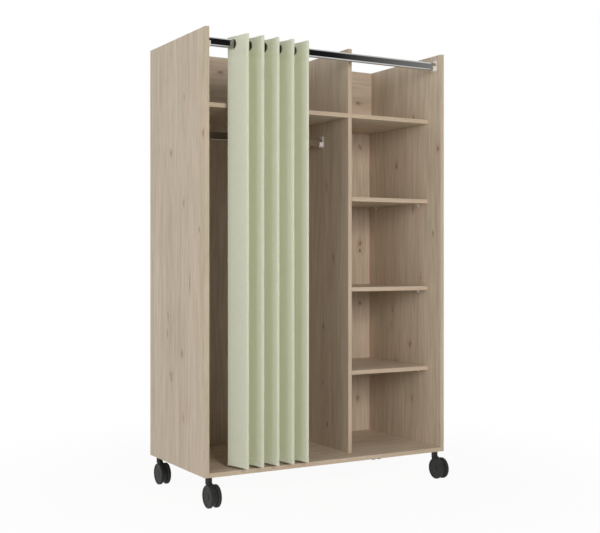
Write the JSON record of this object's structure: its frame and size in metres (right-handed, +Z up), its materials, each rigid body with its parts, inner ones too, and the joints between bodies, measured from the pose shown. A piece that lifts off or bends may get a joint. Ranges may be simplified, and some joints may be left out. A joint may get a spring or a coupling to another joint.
{
  "type": "wardrobe with curtain",
  "caption": "Open-fronted oak-look wardrobe on twin-wheel casters, with a hanging bay, a bay of shelves and a pleated sage curtain that slides on an oval front rod.",
  "frame": {"origin": "on the floor under the middle of the overall width and depth", "axes": "+X to the right seen from the front, +Y from the open front to the back, +Z up"},
  "size_m": [0.965, 0.511, 1.557],
  "materials": {
    "oak_board": "matt oak-pattern foil on 15 mm chipboard",
    "back_sheet": "matt oak-pattern foil on 3 mm hardboard",
    "chrome_tube": "chrome plated",
    "nickel_bracket": "satin nickel plated",
    "steel_fastener": "bright zinc plated",
    "zinc_cam": "die-cast zinc",
    "beech_dowel": "fluted beech",
    "linen_curtain": "plain-woven sage linen-look cloth",
    "eyelet_metal": "dark bronze lacquer",
    "caster_nylon": "dark grey moulded nylon"
  },
  "bodies": {
    "carcass": {"left_side_panel": "oak_board", "right_side_panel": "oak_board", "bottom_panel": "oak_board", "divider_panel": "oak_board", "top_shelf_left": "oak_board", "top_shelf_right": "oak_board", "shelf_upper": "oak_board", "shelf_middle": "oak_board", "shelf_lower": "oak_board", "back_rail_left": "oak_board", "back_rail_right": "oak_board", "back_panel": "back_sheet", "curtain_rod": "chrome_tube", "clothes_rod": "chrome_tube", "clothes_rod_bracket_left": "nickel_bracket", "clothes_rod_bracket_right": "nickel_bracket", "curtain_rod_bracket_left": "nickel_bracket", "curtain_rod_bracket_right": "nickel_bracket", "shelf_pins": "nickel_bracket", "bracket_screws": "steel_fastener", "cam_bolts": "steel_fastener", "double_cam_bolts": "steel_fastener", "cam_locks": "zinc_cam", "dowels": "beech_dowel", "divider_screws": "steel_fastener", "back_panel_nails": "steel_fastener", "caster_inserts": "steel_fastener", "front_left_caster_stem": "steel_fastener", "front_right_caster_stem": "steel_fastener", "back_left_caster_stem": "steel_fastener", "back_right_caster_stem": "steel_fastener"},
    "curtain": {"curtain": "linen_curtain", "curtain_eyelets": "eyelet_metal"},
    "front_left_caster": {"front_left_caster_housing": "caster_nylon", "front_left_caster_axle": "steel_fastener"},
    "front_left_wheel_left": {"front_left_caster_wheel_left": "caster_nylon"},
    "front_left_wheel_right": {"front_left_caster_wheel_right": "caster_nylon"},
    "front_right_caster": {"front_right_caster_housing": "caster_nylon", "front_right_caster_axle": "steel_fastener"},
    "front_right_wheel_left": {"front_right_caster_wheel_left": "caster_nylon"},
    "front_right_wheel_right": {"front_right_caster_wheel_right": "caster_nylon"},
    "back_left_caster": {"back_left_caster_housing": "caster_nylon", "back_left_caster_axle": "steel_fastener"},
    "back_left_wheel_left": {"back_left_caster_wheel_left": "caster_nylon"},
    "back_left_wheel_right": {"back_left_caster_wheel_right": "caster_nylon"},
    "back_right_caster": {"back_right_caster_housing": "caster_nylon", "back_right_caster_axle": "steel_fastener"},
    "back_right_wheel_left": {"back_right_caster_wheel_left": "caster_nylon"},
    "back_right_wheel_right": {"back_right_caster_wheel_right": "caster_nylon"}
  },
  "joints": [
    {"name": "curtain_slide", "type": "slide", "parent": "carcass", "child": "curtain", "axis": [1, 0, 0], "range_m": [-0.074, 0.538]},
    {"name": "front_left_caster_swivel", "type": "hinge", "parent": "carcass", "child": "front_left_caster", "pos_m": [-0.4585, -0.1925, 0.097], "axis": [0, 0, 1], "continuous": true},
    {"name": "front_left_wheel_left_roll", "type": "hinge", "parent": "front_left_caster", "child": "front_left_wheel_left", "pos_m": [-0.4585, -0.218, 0.0375], "axis": [1, 0, 0], "continuous": true},
    {"name": "front_left_wheel_right_roll", "type": "hinge", "parent": "front_left_caster", "child": "front_left_wheel_right", "pos_m": [-0.4585, -0.218, 0.0375], "axis": [1, 0, 0], "continuous": true},
    {"name": "front_right_caster_swivel", "type": "hinge", "parent": "carcass", "child": "front_right_caster", "pos_m": [0.4585, -0.1925, 0.097], "axis": [0, 0, 1], "continuous": true},
    {"name": "front_right_wheel_left_roll", "type": "hinge", "parent": "front_right_caster", "child": "front_right_wheel_left", "pos_m": [0.4585, -0.218, 0.0375], "axis": [1, 0, 0], "continuous": true},
    {"name": "front_right_wheel_right_roll", "type": "hinge", "parent": "front_right_caster", "child": "front_right_wheel_right", "pos_m": [0.4585, -0.218, 0.0375], "axis": [1, 0, 0], "continuous": true},
    {"name": "back_left_caster_swivel", "type": "hinge", "parent": "carcass", "child": "back_left_caster", "pos_m": [-0.4585, 0.2225, 0.097], "axis": [0, 0, 1], "continuous": true},
    {"name": "back_left_wheel_left_roll", "type": "hinge", "parent": "back_left_caster", "child": "back_left_wheel_left", "pos_m": [-0.4585, 0.197, 0.0375], "axis": [1, 0, 0], "continuous": true},
    {"name": "back_left_wheel_right_roll", "type": "hinge", "parent": "back_left_caster", "child": "back_left_wheel_right", "pos_m": [-0.4585, 0.197, 0.0375], "axis": [1, 0, 0], "continuous": true},
    {"name": "back_right_caster_swivel", "type": "hinge", "parent": "carcass", "child": "back_right_caster", "pos_m": [0.4585, 0.2225, 0.097], "axis": [0, 0, 1], "continuous": true},
    {"name": "back_right_wheel_left_roll", "type": "hinge", "parent": "back_right_caster", "child": "back_right_wheel_left", "pos_m": [0.4585, 0.197, 0.0375], "axis": [1, 0, 0], "continuous": true},
    {"name": "back_right_wheel_right_roll", "type": "hinge", "parent": "back_right_caster", "child": "back_right_wheel_right", "pos_m": [0.4585, 0.197, 0.0375], "axis": [1, 0, 0], "continuous": true}
  ]
}
